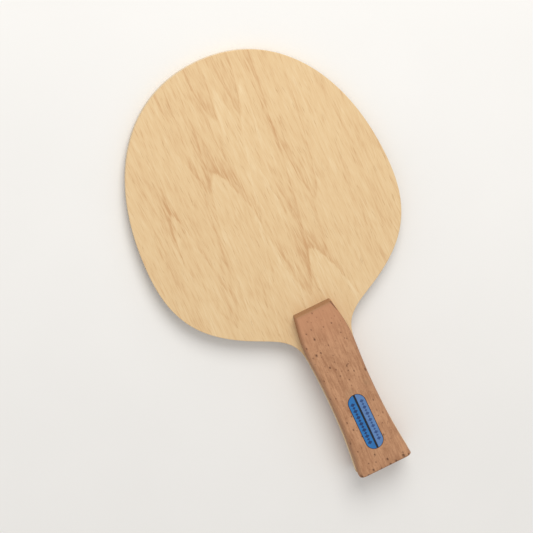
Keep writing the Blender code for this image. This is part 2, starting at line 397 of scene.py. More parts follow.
def veneer_finish(name, arches, streaks, offset):
    finish = Finish(name, {"Roughness": 0.6, "Specular IOR Level": 0.3})
    place = finish.move(finish.place, offset)
    drift = finish.noise(place, (14.0, 50.0, 14.0), 2.0)
    waver = finish.noise(place, (3.5, 16.0, 3.5), 3.0, 0.6)
    fray = finish.noise(place, (0.8, 9.0, 0.8), 3.0, 0.65)
    where = finish.parts(finish.place)
    across = where + drift * 2.0 + waver * 1.5
    along = where.out("Y") + fray * 4.0 + waver * 4.5
    lines = streak_tint(finish, across, along, streaks[0])
    for streak in streaks[1:]:
        lines = lines + streak_tint(finish, across, along, streak)
    tint = lines * 0.6
    for arch in arches:
        tint = tint + arch_tint(finish, across, along, arch)
    stripes = finish.noise(place, (4.5, 90.0, 4.5), 3.0, 0.6)
    patches = finish.noise(place, (9.0, 24.0, 9.0), 3.0, 0.6)
    narrow = finish.noise(place, (1.7, 15.0, 1.7), 1.0, 0.5)
    fine = finish.noise(place, (0.8, 9.0, 0.8), 1.0, 0.5)
    hair = finish.noise(place, (0.4, 5.5, 0.4), 1.0, 0.5)
    tone = tint * 0.62 + stripes * 0.45 + patches * 0.34
    tone = tone + narrow * 0.38 + fine * 0.55 + hair * 0.50
    wood = finish.blend(finish.step(tone, -0.1, 1.1), VENEER_MID, VENEER_PALE)
    wood = finish.blend(finish.step(tone, 0.1, -1.1), wood, VENEER_WARM)
    wavy = finish.xyz(across, where.out("Y"), where.out("Z"))
    thin = dashes(finish, wavy, 0.6, 12.0, 0.30, 0.8)
    broad = dashes(finish, finish.move(wavy, (31.0, 7.0, 3.0)), 1.1, 17.0, 0.22, 0.6)
    pores = (thin * 0.75 + broad * 0.5).least(1.0)
    wood = finish.blend(pores * 0.58, wood, PORE_BROWN)
    finish.feed(Base_Color=wood, Roughness=0.56 + pores * 0.2 + fine * 0.04)
    finish.relief(fine * 0.3 - pores, 0.05, 0.6)
    return finish.material


front_veneer = veneer_finish("face_veneer_front", FRONT_ARCHES, FRONT_STREAKS, (0.0, 0.0, 0.0))
rear_veneer = veneer_finish("face_veneer_rear", REAR_ARCHES, REAR_STREAKS, (140.0, 55.0, 30.0))
print("veneer nodes:", len(front_veneer.node_tree.nodes))

# %% [markdown]
# ## The inner plies' finishes
#
# Only the edges of the inner plies show. The cross plies run across the blade, so their fibres
# show end-on at the sides and lengthwise round the tip. One pattern stretched along X does both,
# because it is a solid pattern and the edge only cuts it. The core is a pale, light wood with
# coarser fibres along the blade.


# %% Cross ply and core finishes
def inner_wood(name, fibre, pale, dark, pores):
    """A plain wood whose fibres have these sizes along X, Y and Z, in millimetres."""
    finish = Finish(name, {"Roughness": 0.7, "Specular IOR Level": 0.25})
    grain = finish.noise(finish.place, fibre, 3.0, 0.65)
    coarse = finish.noise(finish.place, [size * 4.0 for size in fibre], 2.0)
    wood = finish.blend(finish.step(grain * 0.7 + coarse * 0.5, -0.8, 0.8), dark, pale)
    near = finish.cells(finish.place, [size * 1.7 for size in fibre])
    holes = finish.step(near, 0.28, 0.12)
    wood = finish.blend(holes * pores, wood, paint(150, 112, 74))
    finish.feed(Base_Color=wood, Roughness=0.66 + grain * 0.08)
    finish.relief(grain - holes * 0.8, 0.04, 0.6)
    return finish.material


CROSS_PAINTS = (paint(222, 200, 166), paint(198, 168, 128))
CORE_PAINTS = (paint(238, 224, 200), paint(222, 202, 170))
cross_wood = inner_wood("cross_ply_wood", (9.0, 0.28, 0.28), *CROSS_PAINTS, 0.6)
core_wood = inner_wood("core_ply_wood", (0.4, 14.0, 0.4), *CORE_PAINTS, 0.4)
print("inner woods:", cross_wood.name, core_wood.name)

# %% [markdown]
# ## The cork finish
#
# The scales are natural cork, ground smooth. Cork shows soft streaks along the cut, small brown
# flecks, and pits where the pores of the bark were. The pits are real hollows made further down,
# which leave a value named pit on the mesh: the finish only reads it and darkens the hollows. A
# second value, rim, marks the rounded long edges and the ends, where the finish darkens the cork
# as painted shade and makes it a little glossier.

# %% The cork finish itself
CORK_TAN = paint(200, 152, 115)
CORK_DUSKY = paint(156, 110, 78)
CORK_ROSE = paint(192, 138, 103)
CORK_GREY = paint(150, 122, 90)
CORK_FLECK = paint(128, 82, 55)
CORK_HOLLOW = paint(80, 50, 34)
# Painted shade: a darker cork for the head end face, which the window lights full.
CORK_END_SHADE = paint(160, 122, 88)


def cork_finish(name, head_end, offset):
    finish = Finish(name, {"Roughness": 0.75, "Specular IOR Level": 0.3})
    place = finish.move(finish.place, offset)
    where = finish.parts(finish.place)
    cloud = finish.noise(place, (8.0, 15.0, 8.0), 3.0)
    mottle = finish.noise(place, (2.2, 5.5, 2.2), 2.0)
    streak = finish.noise(place, (0.8, 8.0, 0.8), 2.0, 0.55)
    speck = finish.noise(place, (0.5, 1.0, 0.5), 2.0, 0.6)
    tone = cloud * 0.45 + mottle * 0.55 + streak * 0.85 + speck * 0.45
    cork = finish.blend(finish.step(tone, -0.95, 0.85), CORK_DUSKY, CORK_TAN)
    warm = finish.step(where.out("Y") + cloud * 8.0, head_end - 30.0, head_end)
    cork = finish.blend(warm * 0.75, cork, CORK_ROSE)
    smudge = finish.noise(place, (5.0, 12.0, 5.0), 2.0)
    cork = finish.blend(finish.step(smudge, 0.25, 0.75) * 0.5, cork, CORK_GREY)
    near = finish.cells(place, (1.9, 2.6, 1.9))
    draw = finish.node("ShaderNodeSeparateColor", None, {0: near.out("Color")})
    flecks = finish.step(near + speck * 0.06, 0.26, 0.1) * finish.step(draw, 0.62, 0.75)
    cork = finish.blend(flecks * 0.40, cork, CORK_FLECK)
    rim = finish.node("ShaderNodeAttribute", {"attribute_name": "rim"}, None, out="Fac")
    pit = finish.node("ShaderNodeAttribute", {"attribute_name": "pit"}, None, out="Fac")
    # Painted shade: the rim value darkens the rounded long edges and the ends towards dusky cork.
    cork = finish.blend(rim * (0.5 + speck * 0.2), cork, CORK_DUSKY)
    # Painted shade: the last millimetre at the head end is darkened, as that face is lit full by the
    # window.
    end_face_shade = finish.step(where.out("Y") + speck * 0.3, head_end - 1.1, head_end - 0.3)
    cork = finish.blend(end_face_shade * 0.7, cork, CORK_END_SHADE)
    cork = finish.blend(pit.least(1.0) * 0.75, cork, CORK_HOLLOW)
    finish.feed(Base_Color=cork, Roughness=0.72 + speck * 0.06 - rim * 0.08)
    finish.relief(streak * 0.5 + speck * 0.5 - flecks * 0.6, 0.06, 0.7)
    return finish.material


HEAD_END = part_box("front_handle_scale")[1][1] / MM
cork_front = cork_finish("cork_front", HEAD_END, (0.0, 0.0, 0.0))
cork_rear = cork_finish("cork_rear", HEAD_END, (57.0, 23.0, 11.0))
print("cork nodes:", len(cork_front.node_tree.nodes))

# %% [markdown]
# ## The badge's finishes
#
# The badge is a black base with two enamelled halves, one deep blue and one paler. Its marks are
# a plain row of lozenges and pips in dark ink. Enamel is smooth but never quite even, so a faint
# cloud moves its colour and a fine noise its roughness, under a thin clear coat.


# %% Enamel, base, ink and glue
def coated(name, colour, shade, roughness, coat):
    finish = Finish(name, {"Coat Weight": coat, "Coat Roughness": 0.25, "Specular IOR Level": 0.45})
    cloud = finish.noise(finish.place, (2.5, 6.0, 2.5), 3.0, 0.6)
    grit = finish.noise(finish.place, (0.35, 0.6, 0.35), 2.0)
    colour = finish.blend(finish.step(cloud + grit * 0.6, -0.8, 0.9), shade, colour)
    finish.feed(Base_Color=colour, Roughness=roughness + grit * 0.08)
    finish.relief(cloud * 0.5 + grit * 0.5, 0.02, 0.4)
    return finish.material


deep_blue = coated("enamel_deep_blue", paint(30, 118, 186), paint(24, 100, 164), 0.38, 0.3)
pale_blue = coated("enamel_pale_blue", paint(92, 134, 186), paint(78, 116, 168), 0.42, 0.3)
base_black = coated("badge_base_black", paint(24, 28, 42), paint(15, 18, 30), 0.45, 0.1)
deep_ink = coated("ink_on_deep_blue", paint(24, 62, 112), paint(18, 48, 94), 0.5, 0.0)
pale_ink = coated("ink_on_pale_blue", paint(52, 84, 138), paint(40, 68, 118), 0.5, 0.0)
glue_amber = coated("glue_amber", paint(206, 170, 98), paint(182, 142, 74), 0.3, 0.4)
print("badge finishes ready")

# %% [markdown]
# ## Plates cut to an outline
#
# Every ply, and every layer of the badge, is a flat plate cut to an outline, with its sharp edge
# taken off by sanding. A Bevel modifier can soften the edges, but it trips over hundreds of short
# sides. So the rule is written once in Geometry Nodes: the outline becomes a curve, an open edge
# profile with rounded corners is swept along it, and two filled copies drawn in by the width of
# the rounding close the top and the bottom.


# %% A Geometry Nodes tree with named inputs
class Recipe(Tree):
    """A Geometry Nodes tree that always ends in Realize Instances and Set Material."""

    def __init__(self, name, inputs):
        super().__init__(bpy.data.node_groups.new(name, "GeometryNodeTree"))
        face = self.tree.interface
        face.new_socket(name="Geometry", in_out="INPUT", socket_type="NodeSocketGeometry")
        for label, kind in {**inputs, "Material": "Material"}.items():
            face.new_socket(name=label, in_out="INPUT", socket_type="NodeSocket" + kind)
        face.new_socket(name="Geometry", in_out="OUTPUT", socket_type="NodeSocketGeometry")
        self.entry = self.tree.nodes.new("NodeGroupInput")

    def given(self, label):
        return Wire(self, self.entry.outputs[label])

    def joined(self, *pieces):
        made = self.tree.nodes.new("GeometryNodeJoinGeometry")
        for piece in reversed(pieces):
            self.tree.links.new(piece.socket, made.inputs[0])
        return Wire(self, made.outputs[0])

    def shift(self, shape, **to):
        """The shape with its points moved, by an Offset or to a Position."""
        return self.node("GeometryNodeSetPosition", None, {0: shape, **to})

    def close(self, shape):
        real = self.node("GeometryNodeRealizeInstances", None, {0: shape})
        last = self.node("GeometryNodeSetMaterial", None, {0: real, "Material": self.given("Material")})
        end = self.tree.nodes.new("NodeGroupOutput")
        self.tree.links.new(last.socket, end.inputs[0])

    def grow(self, name, mesh, values):
        """The tree's result on a mesh, as a plain object with no modifier left on it."""
        thing = add(name, mesh)
        modifier = thing.modifiers.new(name, "NODES")
        modifier.node_group = self.tree
        for item in self.tree.interface.items_tree:
            if item.in_out == "INPUT" and item.name in values:
                modifier[item.identifier] = values[item.name]
        bpy.context.view_layer.update()
        seen = thing.evaluated_get(bpy.context.evaluated_depsgraph_get())
        result = bpy.data.meshes.new_from_object(seen)
        thing.modifiers.clear()
        thing.data = result
        result.name = name
        return thing


print("recipes for Geometry Nodes ready")

# %% The plate tree
PROFILE_POINTS = 4
ROUND_POINTS = 4
ROUND_SHARE = 0.98
SNAP = 0.002 * MM

plate = Recipe("plate_cut_to_outline", {"Bottom": "Float", "Thickness": "Float", "Rounding": "Float"})
thickness, rounding = plate.given("Thickness"), plate.given("Rounding")
outline = plate.node("GeometryNodeMeshToCurve", None, {0: plate.given("Geometry")})
outline = plate.node("GeometryNodeSetCurveNormal", {"mode": "Z_UP"}, {0: outline})

corner = plate.node("GeometryNodeInputIndex")
profile = plate.node("GeometryNodeMeshLine", None, {"Count": PROFILE_POINTS})
drawn = abs(corner - 1.5).above(1.0) * rounding * -1.0
high = corner.above(1.5) * thickness * -1.0
profile = plate.shift(profile, Position=plate.xyz(drawn, high))
profile = plate.node("GeometryNodeMeshToCurve", None, {0: profile})
rounded = {0: profile, "Count": ROUND_POINTS, "Radius": rounding * ROUND_SHARE}
profile = plate.node("GeometryNodeFilletCurve", {"mode": "POLY"}, rounded)
wall = plate.node("GeometryNodeCurveToMesh", None, {0: outline, "Profile Curve": profile})

inward = plate.scaled(plate.node("GeometryNodeInputNormal"), rounding * -1.0)
inner = plate.shift(outline, Offset=inward)
floor_face = plate.node("GeometryNodeFillCurve", {"mode": "NGONS"}, {0: inner})
top_face = plate.shift(floor_face, Offset=plate.xyz(z=thickness))
floor_face = plate.node("GeometryNodeFlipFaces", None, {0: floor_face})
shell = plate.joined(wall, top_face, floor_face)
shell = plate.node("GeometryNodeMergeByDistance", None, {0: shell, "Distance": SNAP})
plate.close(plate.shift(shell, Offset=plate.xyz(z=plate.given("Bottom"))))
print("plate tree:", len(plate.tree.nodes), "nodes")

# %% [markdown]
# ## Reading an outline from the CAD
#
# A CAD node's mesh is loose triangles, so a copy is merged before it is read, and the node itself
# is left alone. The edges between its flat top and its wall are the outline. The CAD outline has
# a corner every few millimetres, so a smooth curve is passed through its points, except at the
# corners that are meant to be sharp.


# %% Read an outline
SAME_POINT = 0.001 * MM
FACES_UP = 0.9


def merged(node):
    """A copy of a CAD node's mesh with its doubled points made one."""
    form = bmesh.new()
    form.from_mesh(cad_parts[node].data)
    bmesh.ops.remove_doubles(form, verts=form.verts, dist=SAME_POINT)
    return form


def top_outline(node):
    """The points round a flat node's top face, anticlockwise, as an array of x and y."""
    form = merged(node)
    follows = {}
    for face in form.faces:
        if face.normal.z > FACES_UP:
            for loop in face.loops:
                if min(side.normal.z for side in loop.edge.link_faces) < FACES_UP:
                    follows[loop.vert.index] = loop.link_loop_next.vert.index
    form.verts.ensure_lookup_table()
    start = next(iter(follows))
    chain = [start]
    while follows[chain[-1]] != start:
        chain.append(follows[chain[-1]])
    points = np.array([form.verts[index].co[:2] for index in chain])
    form.free()
    return points


print("points round the CAD blade:", len(top_outline("front_face_veneer")))

# %% Pass a smooth curve through it
CORNER_ANGLE = 28.0
STRAIGHT_SHARE = 2.5


def smooth_outline(points, step):
    """Points about a step apart on a smooth curve through the given ones.

    Sharp corners are kept, and a side much longer than its neighbours stays straight.
    """
    ahead = np.roll(points, -1, axis=0) - points
    length = np.linalg.norm(ahead, axis=1)
    ahead = ahead / length[:, None]
    behind = np.roll(ahead, 1, axis=0)
    behind_length = np.roll(length, 1)
    bend = np.degrees(np.arccos(np.clip((ahead * behind).sum(axis=1), -1.0, 1.0)))
    tangent = ahead * behind_length[:, None] + behind * length[:, None]
    tangent = tangent / np.linalg.norm(tangent, axis=1)[:, None]
    tangent = np.where((length > STRAIGHT_SHARE * behind_length)[:, None], ahead, tangent)
    tangent = np.where((behind_length > STRAIGHT_SHARE * length)[:, None], behind, tangent)
    sharp = (bend > CORNER_ANGLE)[:, None]
    leaving = np.where(sharp, ahead, tangent)
    arriving = np.where(sharp, behind, tangent)
    result = []
    for index in range(len(points)):
        after = (index + 1) % len(points)
        count = max(1, round(length[index] / step))
        for share in np.arange(count) / count:
            square, cube = share ** 2, share ** 3
            place = points[index] * (2 * cube - 3 * square + 1) + points[after] * (3 * square - 2 * cube)
            place = place + leaving[index] * length[index] * (cube - 2 * square + share)
            result.append(place + arriving[after] * length[index] * (cube - square))
    return np.clip(result, points.min(axis=0), points.max(axis=0))


def loop_mesh(name, points):
    """A closed loop of edges through the points, at height 0."""
    mesh = bpy.data.meshes.new(name)
    edges = [(index, (index + 1) % len(points)) for index in range(len(points))]
    mesh.from_pydata([(x, y, 0.0) for x, y in points], edges, [])
    return mesh


print("a bend of more than", CORNER_ANGLE, "degrees stays a corner")

# %% Shading and the place in the frame
SHARP_ANGLE = math.radians(32.0)
FLAT_CAP = 0.9999


def shade(thing):
    """Smooth shading, but flat caps stay flat and sharp corners stay sharp."""
    mesh = thing.data
    mesh.shade_smooth()
    for face in mesh.polygons:
        if abs(face.normal.z) > FLAT_CAP and len(face.vertices) > 4:
            face.use_smooth = False
    mesh.set_sharp_from_angle(angle=SHARP_ANGLE)


def settle(thing, slot, *nodes):
    """The piece rides on the body and stands for its CAD nodes, which are hidden. The slot is not used.
    """
    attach(thing, "root")
    if nodes:
        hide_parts(*nodes)
    print(f"{thing.name}: {len(thing.data.polygons)} faces")


# %% [markdown]
# ## The five plies
#
# A blade is pressed as one sheet and then sawn and sanded, so all five plies share one outline.
# Each plate takes its own height and thickness from its CAD box. The two face veneers get the
# larger rounding, because sanding takes the outer edges most. Inside, a hairline of shadow shows
# at each glue line.

# %% Make the plies
OUTLINE_STEP = 1.0 * MM
FACE_ROUNDING = 0.28 * MM
INNER_ROUNDING = 0.05 * MM
PLIES = (
    ("rear_face_veneer", rear_veneer, "face_veneer", FACE_ROUNDING),
    ("rear_cross_ply", cross_wood, "cross_ply", INNER_ROUNDING),
    ("core_ply", core_wood, "core_ply", INNER_ROUNDING),
    ("front_cross_ply", cross_wood, "cross_ply", INNER_ROUNDING),
    ("front_face_veneer", front_veneer, "face_veneer", FACE_ROUNDING),
)


def cut_plate(node, finish, slot, rounding, step, drop=0.0):
    """A plate with a CAD node's outline and height, its top lowered by drop."""
    low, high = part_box(node)
    points = smooth_outline(top_outline(node), step)
    sizes = {"Bottom": low[2], "Thickness": high[2] - low[2] - drop, "Rounding": rounding}
    made = plate.grow(node + "_piece", loop_mesh(node, points), {**sizes, "Material": finish})
    shade(made)
    settle(made, slot, node)


for node, finish, slot, rounding in PLIES:
    cut_plate(node, finish, slot, rounding, OUTLINE_STEP)

# %% [markdown]
# ## The form of a handle scale
#
# The CAD scale has a section every few millimetres, each with a straight side, a rounded long
# edge and a flat crown. Those four measures are read from its rings and drawn again on a grid
# about a third of a millimetre fine, so that pits can later be pressed into real geometry. A
# voxel remesh would give a fine mesh too, but it blurs the line where the cork meets the wood.

# %% Read the sections of the rear scale
RING_POINTS = 14
REAR = "rear_handle_scale"
FRONT = "front_handle_scale"
REAR_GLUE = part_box(REAR)[1][2]
FRONT_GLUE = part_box(FRONT)[0][2]


def read_sections():
    """Rows of station, half width, side depth, crown half width and crown depth, butt end first."""
    rings = {}
    form = merged(REAR)
    for vertex in form.verts:
        rings.setdefault(round(vertex.co.y, 6), []).append((vertex.co.x, REAR_GLUE - vertex.co.z))
    form.free()
    rows = []
    for station in sorted(rings):
        ring = np.array(rings[station])
        if len(ring) == RING_POINTS:
            half, deep = ring.max(axis=0)
            side = ring[ring[:, 0] > half - 1e-5][:, 1].max()
            crown = ring[ring[:, 1] > deep - 1e-5][:, 0].max()
            rows.append((station, half, side, crown, deep))
    return np.array(rows)


SECTIONS = read_sections()
print(len(SECTIONS), "sections, widest", round(SECTIONS[:, 1].max() * 2 / MM, 2), "mm")


def section_at(station):
    """Half width, side depth, crown half width and crown depth at a station."""
    return [float(np.interp(station, SECTIONS[:, 0], SECTIONS[:, column])) for column in range(1, 5)]


# %% The points of a fine grid
GRID = 0.34 * MM
SIDE_STEPS = 13
ROUND_STEPS = 15
CROWN_STEPS = 72
GLUE_STEPS = 8
BUTT_GAPS = (0.0, 0.04, 0.12, 0.25, 0.42, 0.62, 0.85, 1.1, 1.4, 1.7, 2.0, 2.3)
HEAD_GAPS = BUTT_GAPS[:8]


def ring_at(station):
    """The points round one section, as x and depth from the glue face."""
    half, side, crown, deep = section_at(station)
    right = [(half, side * step / SIDE_STEPS) for step in range(SIDE_STEPS)]
    for step in range(ROUND_STEPS):
        angle = math.pi / 2 * step / ROUND_STEPS
        right.append((crown + (half - crown) * math.cos(angle), side + (deep - side) * math.sin(angle)))
    across = [(crown * (1 - 2 * step / CROWN_STEPS), deep) for step in range(CROWN_STEPS + 1)]
    left = [(-x, depth) for x, depth in reversed(right)]
    under = [(half * (2 * step / GLUE_STEPS - 1), 0.0) for step in range(1, GLUE_STEPS)]
    return right + across + left + under


def scale_stations():
    """Stations along a scale, closer together through its rounded ends."""
    butt, head = SECTIONS[0, 0], SECTIONS[-1, 0]
    near_butt = [butt + gap * MM for gap in BUTT_GAPS]
    near_head = [head - gap * MM for gap in reversed(HEAD_GAPS)]
    middle = np.arange(near_butt[-1] + GRID, near_head[0] - GRID / 2, GRID)
    return [*near_butt, *middle, *near_head]


print(len(scale_stations()), "rings of", len(ring_at(0.0)), "points")

# %% Draw both scales
CAP_RINGS = 9
CAP_SHARE = 0.85


def join_rings(form, near, far):
    for index in range(len(near)):
        after = (index + 1) % len(near)
        form.faces.new((near[index], near[after], far[after], far[index]))


def scale_form(name, glue, way):
    """One scale. Way is 1 on the front and -1 on the rear."""
    form = bmesh.new()
    rings = []
    for station in scale_stations():
        rings.append([form.verts.new((x, station, glue + way * depth)) for x, depth in ring_at(station)])
    for end in (rings[0], rings[-1]):
        half, _, _, deep = section_at(end[0].co.y)
        outer = end
        for step in range(1, CAP_RINGS + 1):
            share = CAP_SHARE * step / CAP_RINGS
            ring = []
            for vertex in end:
                spine = max(min(vertex.co.x, half - deep / 2), deep / 2 - half)
                middle = Vector((spine, vertex.co.y, glue + way * deep / 2))
                ring.append(form.verts.new(vertex.co.lerp(middle, share)))
            join_rings(form, outer, ring)
            outer = ring
        form.faces.new(outer)
    for near, far in zip(rings, rings[1:]):
        join_rings(form, near, far)
    bmesh.ops.recalc_face_normals(form, faces=form.faces)
    mesh = bpy.data.meshes.new(name)
    form.to_mesh(mesh)
    form.free()
    return mesh


rear_form = scale_form("rear_scale_form", REAR_GLUE, -1)
front_form = scale_form("front_scale_form", FRONT_GLUE, 1)
print("scale faces:", len(front_form.polygons))

# %% [markdown]
# ## The pocket for the badge
#
# The badge sits in a shallow pocket with a hair of clearance round it. The pocket is cut with an
# exact Boolean before the cork gets its relief, while the surface is still clean. Its outline and
# its depth are read from the CAD scale. The CAD leaves a clearance all round the badge for making
# it; on the finished blade glue fills that gap, so here the wall is drawn closer to the badge.

# %% The shape of the pocket
WALL_DRAWN_IN = 0.2 * MM
WALL_STEP = 0.3 * MM
SEARCH_ACROSS = 6 * MM
SEARCH_ALONG = 19 * MM
SEARCH_DEPTH = 2 * MM
SAME_HEIGHT = 0.01 * MM
CUTTER_HEIGHT = 3 * MM


def pocket_cutter():
    """A prism that fills the badge pocket and rises clear of the crown."""
    low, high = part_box("badge_base")
    centre = np.array([(low[0] + high[0]) / 2, (low[1] + high[1]) / 2])
    form = merged(FRONT)
    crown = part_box(FRONT)[1][2]
    near = [vertex.co.copy() for vertex in form.verts if vertex.co.z > crown - SEARCH_DEPTH]
    near = [place for place in near if abs(place.x) < SEARCH_ACROSS]
    near = [place for place in near if abs(place.y - centre[1]) < SEARCH_ALONG]
    floor = min(place.z for place in near)
    rim = np.array([place[:2] for place in near if place.z < floor + SAME_HEIGHT])
    form.free()
    aside = rim - centre
    rim = rim[np.argsort(np.arctan2(aside[:, 1], aside[:, 0]))]
    reach = (high[1] - low[1] - high[0] + low[0]) / 2
    spine = centre + np.column_stack([rim[:, 0] * 0.0, np.clip(rim[:, 1] - centre[1], -reach, reach)])
    aside = rim - spine
    rim = rim - aside * WALL_DRAWN_IN / np.linalg.norm(aside, axis=1)[:, None]
    rim = smooth_outline(rim, WALL_STEP)
    form = bmesh.new()
    base = form.faces.new([form.verts.new((x, y, floor)) for x, y in rim])
    lifted = bmesh.ops.extrude_face_region(form, geom=[base])["geom"]
    top = [item for item in lifted if isinstance(item, bmesh.types.BMVert)]
    bmesh.ops.translate(form, verts=top, vec=(0.0, 0.0, CUTTER_HEIGHT))
    bmesh.ops.recalc_face_normals(form, faces=form.faces)
    mesh = bpy.data.meshes.new("pocket_cutter")
    form.to_mesh(mesh)
    form.free()
    print("pocket:", len(rim), "points, floor at", round(floor / MM, 2), "mm")
    return add("pocket_cutter", mesh)


# %% Cut the pocket
cutter = pocket_cutter()
blank = add("front_scale_blank", front_form)
boolean = blank.modifiers.new("pocket", "BOOLEAN")
boolean.object = cutter
boolean.operation = "DIFFERENCE"
boolean.solver = "EXACT"
bpy.context.view_layer.update()
cut_blank = blank.evaluated_get(bpy.context.evaluated_depsgraph_get())
front_form = bpy.data.meshes.new_from_object(cut_blank)
for thing in (cutter, blank):
    bpy.data.objects.remove(thing)
print("front scale with its pocket:", len(front_form.polygons), "faces")

# %% [markdown]
# ## Pits in the cork
#
# Pits repeat over the whole surface, so Geometry Nodes scatter them. Points are dealt over the
# faces with a least distance between them, each with its own radius. A second object adds the
# pits and nicks whose places are known. Then every point of the scale looks for its nearest pit,
# measured in a space squeezed along the handle, so that round pits come out longer that way, and
# sinks along its normal if it lies inside. A stain a little wider than the pit is stored for
# the finish to read.

# %% The pit tree
PIT_SIZES = ("Pit Distance", "Pits Per Square Metre", "Pit Radius", "Pit Depth", "Surface Grain")
SQUEEZE = (1.0, 0.62, 1.0)
pits = Recipe("cork_pits", {**dict.fromkeys(PIT_SIZES, "Float"), "Seed": "Int", "Placed Pits": "Object"})


def sampled(kind, geometry, value, index):
    return pits.node("GeometryNodeSampleIndex", {"data_type": kind}, {0: geometry, 1: value, 2: index})


cork = pits.given("Geometry")
seed = pits.given("Seed")
dealt = pits.node(
    "GeometryNodeDistributePointsOnFaces",
    {"distribute_method": "POISSON"},
    {
        0: cork,
        "Distance Min": pits.given("Pit Distance"),
        "Density Max": pits.given("Pits Per Square Metre"),
        "Seed": seed,
    },
)
draw = pits.node("FunctionNodeRandomValue", {"data_type": "FLOAT"}, {2: 0.0, 3: 1.0, "Seed": seed}, out=1)
size = pits.given("Pit Radius") * (draw * draw * draw * 0.8 + 0.2)
name_radius = {"data_type": "FLOAT", "domain": "POINT"}
dealt = pits.node(
    "GeometryNodeStoreNamedAttribute", name_radius, {0: dealt, "Name": "pit_radius", "Value": size}
)
placed = pits.node("GeometryNodeObjectInfo", None, {0: pits.given("Placed Pits")}, out="Geometry")
placed = pits.node("GeometryNodeMeshToPoints", None, {0: placed})
centres = pits.joined(dealt, placed)
place = pits.node("GeometryNodeInputPosition")
squeezed = pits.squeeze(place, SQUEEZE)
centres = pits.shift(centres, Position=squeezed)
nearest = pits.node("GeometryNodeSampleNearest", None, {0: centres, 1: squeezed})
centre = sampled("FLOAT_VECTOR", centres, place, nearest)
radius = pits.node("GeometryNodeInputNamedAttribute", {"data_type": "FLOAT"}, {"Name": "pit_radius"})
radius = sampled("FLOAT", centres, radius, nearest)
gap = pits.vector_maths("DISTANCE", {0: squeezed, 1: centre}, out=1)
print("pit tree:", len(pits.tree.nodes), "nodes so far")

# %% Sink the pits
ragged = pits.noise(place, (0.55 * MM, 0.8 * MM, 0.55 * MM), 2.0)
pit = pits.step(gap / radius + ragged * 0.45, 1.0, 0.3)
swell = pits.noise(place, (1.6 * MM, 7.0 * MM, 1.6 * MM), 3.0, 0.6)
sink = pit * pits.given("Pit Depth").least(radius * 0.9) + (swell + 1.0) * pits.given("Surface Grain")
way_in = pits.scaled(pits.node("GeometryNodeInputNormal"), sink * -1.0)
stain = pits.step(gap / radius + ragged * 0.45, 1.5, 0.35)
cork = pits.node("GeometryNodeStoreNamedAttribute", name_radius, {0: cork, "Name": "pit", "Value": stain})
pits.close(pits.shift(cork, Offset=way_in))
print("pit tree:", len(pits.tree.nodes), "nodes")

# %% [markdown]
# ## Where the known pits are
#
# Each known pit is a place across and along the handle and a radius, in millimetres. A crack is a
# short row of pits close together, and a chipped edge is a pit centred on the edge itself. Every
# place is laid on the nearest point of the scale's surface.

# %% Place the known pits
FRONT_PITS = (
    (-9.4, -50.0, 0.60), (-6.6, -49.6, 0.42), (-6.8, -41.0, 0.55), (-5.5, -60.0, 0.45),
    (-2.2, -67.0, 0.36), (12.6, -70.0, 0.75), (-9.5, -36.2, 0.34), (-6.0, -35.2, 0.30),
    (-13.0, -44.0, 0.38), (10.4, -48.6, 0.30), (3.6, -63.2, 0.35), (5.0, -62.4, 0.28),
    (-10.2, -94.0, 0.40), (-8.6, -99.2, 0.40), (-13.4, -106.0, 0.45), (-6.3, -91.4, 0.38),
    (6.0, -110.0, 0.42), (-3.6, -118.4, 0.42), (-11.6, -112.4, 0.32), (9.0, -88.6, 0.30),
    (8.4, -103.0, 0.28), (-9.8, -78.0, 0.30), (1.4, -75.0, 0.26), (-1.0, -54.2, 0.28),
    (-15.6, -127.6, 0.95), (-7.8, -126.6, 0.62), (2.2, -124.2, 0.50), (2.6, -127.9, 0.60),
    (6.2, -127.6, 0.62), (11.6, -126.4, 0.80), (12.2, -124.6, 0.40), (-11.6, -128.0, 0.55),
    (-3.2, -128.1, 0.50), (14.6, -127.4, 0.55),
)
CRACK = [(10.7 + 0.13 * step, -25.0 - 0.5 * step, 0.45 - 0.015 * step) for step in range(13)]
REAR_COUNT = 26
REAR_RANGES = ((-11, 11), (-126, -30), (0.3, 0.6))
OUTER_SHELL = 3 * MM
# A point's height counts for a twentieth of its distance, so that the outermost one is taken.
HEIGHT_COUNTS = 0.05


def points_of(mesh):
    """The mesh's points as rows of x, y and z."""
    flat = np.empty(len(mesh.vertices) * 3)
    mesh.vertices.foreach_get("co", flat)
    return flat.reshape(-1, 3)


def store(mesh, name, values):
    """Keeps one value on each point, for a tree or a finish to read."""
    mesh.attributes.new(name, "FLOAT", "POINT").data.foreach_set("value", values)


def placed_pits(name, marks, form, way):
    """An object whose loose points are pit centres on the scale, each with its radius."""
    points = points_of(form)
    height = points[:, 2] * way
    outer = points[height > np.median(height) - OUTER_SHELL]
    places = []
    for across, along, _ in marks:
        gaps = np.hypot(outer[:, 0] - across * MM, outer[:, 1] - along * MM)
        places.append(outer[np.argmin(gaps - outer[:, 2] * way * HEIGHT_COUNTS)])
    mesh = bpy.data.meshes.new(name)
    mesh.from_pydata(places, [], [])
    store(mesh, "pit_radius", [radius * MM for _, _, radius in marks])
    return add(name, mesh)


draws = np.random.default_rng(7)
REAR_PITS = [[float(draws.uniform(*span)) for span in REAR_RANGES] for _ in range(REAR_COUNT)]
print(len(FRONT_PITS) + len(CRACK), "known pits in front,", len(REAR_PITS), "behind")

# %% [markdown]
# ## Finishing the scales
#
# Both scales go through the same tree with their own seeds. Afterwards a value named rim is
# stored on each: it rises from 0 on the crown to 1 on the rounded long edges and ends, where the
# finish paints shade.

# %% Grow the scales and mark their rims for painted shade
EDGE_SHADE_WIDTH = 2.6 * MM
PIT_EDGE_ANGLE = math.radians(50.0)


